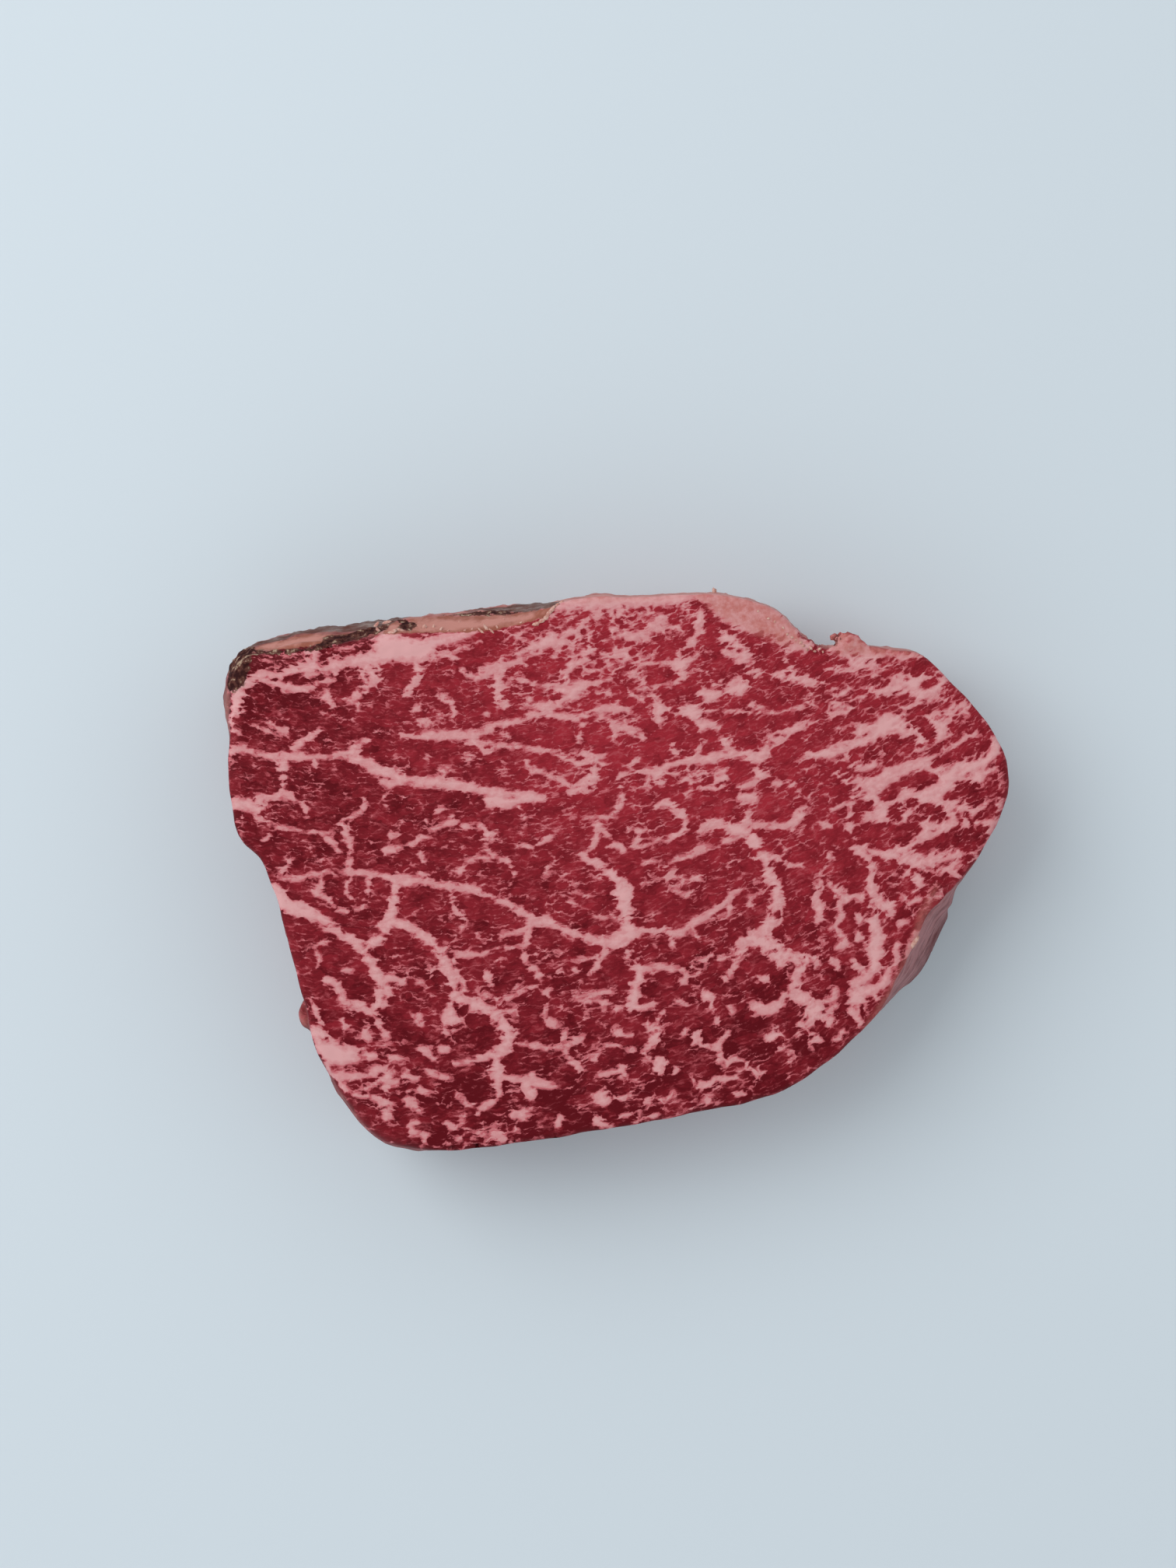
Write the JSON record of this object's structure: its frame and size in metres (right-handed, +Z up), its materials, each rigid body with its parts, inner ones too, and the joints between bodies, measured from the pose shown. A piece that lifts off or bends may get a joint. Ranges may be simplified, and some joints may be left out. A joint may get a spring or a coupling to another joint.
{
  "type": "raw beef steak",
  "caption": "Thick flat cut of raw, heavily marbled beef with a fat cap along one side, a dried corner, trimmed walls and a flat underside to lie on.",
  "frame": {"origin": "under the middle of the piece's bounding box, on the surface that it lies on", "axes": "+Z up from the underside to the cut face, +X along the piece, +Y towards the fat cap"},
  "size_m": [0.1544, 0.11, 0.0283],
  "materials": {
    "marbled_meat": "raw red muscle with pink fat seams and flecks, fairly matte and only slightly moist"
  },
  "bodies": {
    "root": {"steak": "marbled_meat"}
  },
  "joints": []
}
